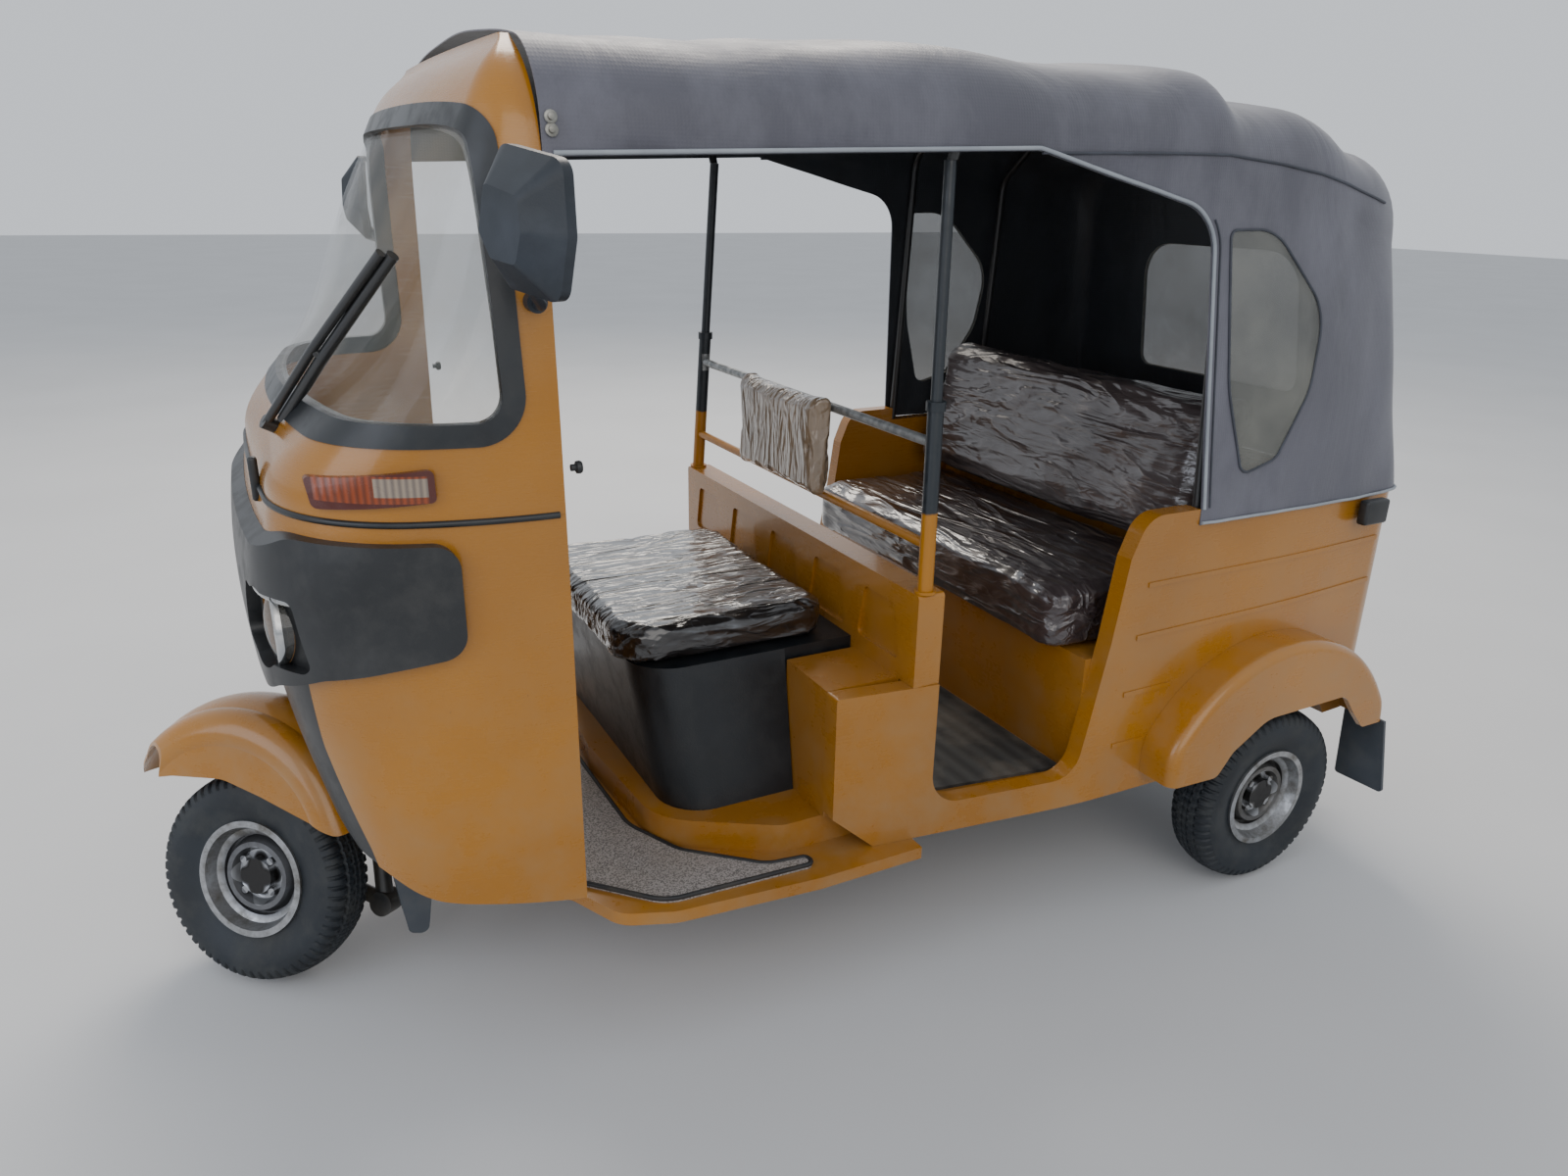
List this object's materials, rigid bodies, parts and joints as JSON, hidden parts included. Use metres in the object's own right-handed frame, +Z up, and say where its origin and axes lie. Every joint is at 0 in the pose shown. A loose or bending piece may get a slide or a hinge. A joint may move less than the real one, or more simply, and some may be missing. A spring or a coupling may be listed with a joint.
{
  "type": "auto rickshaw",
  "caption": "Three-wheeled passenger auto rickshaw with a yellow body, soft grey hood, wrap-round windscreen and open sides; front wheel turned to the right.",
  "frame": {"origin": "on the ground under the middle of the vehicle's bounding box", "axes": "+X forwards, +Y to the vehicle's left, +Z up"},
  "size_m": [2.5688, 1.4302, 1.697],
  "materials": {
    "yellow_paint": "gloss",
    "black_paint": "satin",
    "grey_paint": "satin",
    "hood_cloth": "matt",
    "black_plastic": "satin",
    "soft_rubber": "satin",
    "tyre_rubber": "matt",
    "screen_glass": "clear",
    "amber_lens": "gloss",
    "red_lens": "gloss",
    "seat_cover": "satin",
    "speckled_mat": "matt",
    "cast_metal": "satin"
  },
  "bodies": {
    "body": {"chassis_frame": "black_paint", "driver_floor": "yellow_paint", "passenger_floor": "yellow_paint", "floor_mats": "speckled_mat", "front_bulkhead": "yellow_paint", "front_apron": "yellow_paint", "nose_panel": "black_plastic", "windscreen_frame": "yellow_paint", "windscreen_gasket": "soft_rubber", "windscreen_glass": "screen_glass", "headlamp_bezel": "black_plastic", "headlamps": "screen_glass", "indicator_lamps": "amber_lens", "windscreen_wiper": "black_paint", "mirrors": "black_plastic", "dashboard": "black_plastic", "body_side_left": "yellow_paint", "body_side_right": "yellow_paint", "rear_panel": "yellow_paint", "partition_wall": "yellow_paint", "partition_frame": "grey_paint", "rear_inner": "yellow_paint", "rear_fenders": "yellow_paint", "mudflaps": "soft_rubber", "tail_lamps": "red_lens", "rear_bumper": "black_paint", "driver_seat_box": "black_paint", "driver_seat_cushion": "seat_cover", "driver_backrest": "seat_cover", "passenger_seat_cushion": "seat_cover", "passenger_backrest": "seat_cover", "canopy": "hood_cloth", "canopy_windows": "screen_glass", "canopy_frame": "black_paint", "engine_block": "cast_metal", "silencer": "black_paint", "rear_suspension": "black_paint"},
    "steering": {"steering_fork": "black_paint", "handlebar": "black_paint", "front_fender": "yellow_paint", "front_link": "black_paint"},
    "front_wheel": {"front_tyre": "tyre_rubber", "front_rim": "grey_paint"},
    "rear_wheel_left": {"rear_tyre_left": "tyre_rubber", "rear_rim_left": "grey_paint"},
    "rear_wheel_right": {"rear_tyre_right": "tyre_rubber", "rear_rim_right": "grey_paint"},
    "rear_lid": {"rear_lid": "yellow_paint"}
  },
  "joints": [
    {"name": "steering", "type": "hinge", "parent": "body", "child": "steering", "pos_m": [1.05753, 0, 0.20637], "axis": [-0.342, 0, 0.9397], "range_deg": [0, 90]},
    {"name": "front_wheel_spin", "type": "hinge", "parent": "steering", "child": "front_wheel", "pos_m": [1.1035, -0.0412, 0.20053], "axis": [0.6645, 0.7071, 0.2418], "continuous": true},
    {"name": "rear_wheel_left_spin", "type": "hinge", "parent": "body", "child": "rear_wheel_left", "pos_m": [-0.87047, 0.575, 0.203], "axis": [0, 1, 0], "continuous": true},
    {"name": "rear_wheel_right_spin", "type": "hinge", "parent": "body", "child": "rear_wheel_right", "pos_m": [-0.87047, -0.575, 0.203], "axis": [0, 1, 0], "continuous": true},
    {"name": "rear_lid_hinge", "type": "hinge", "parent": "body", "child": "rear_lid", "pos_m": [-1.23677, 0, 0.799], "axis": [0, 1, 0], "range_deg": [0, 85]}
  ]
}
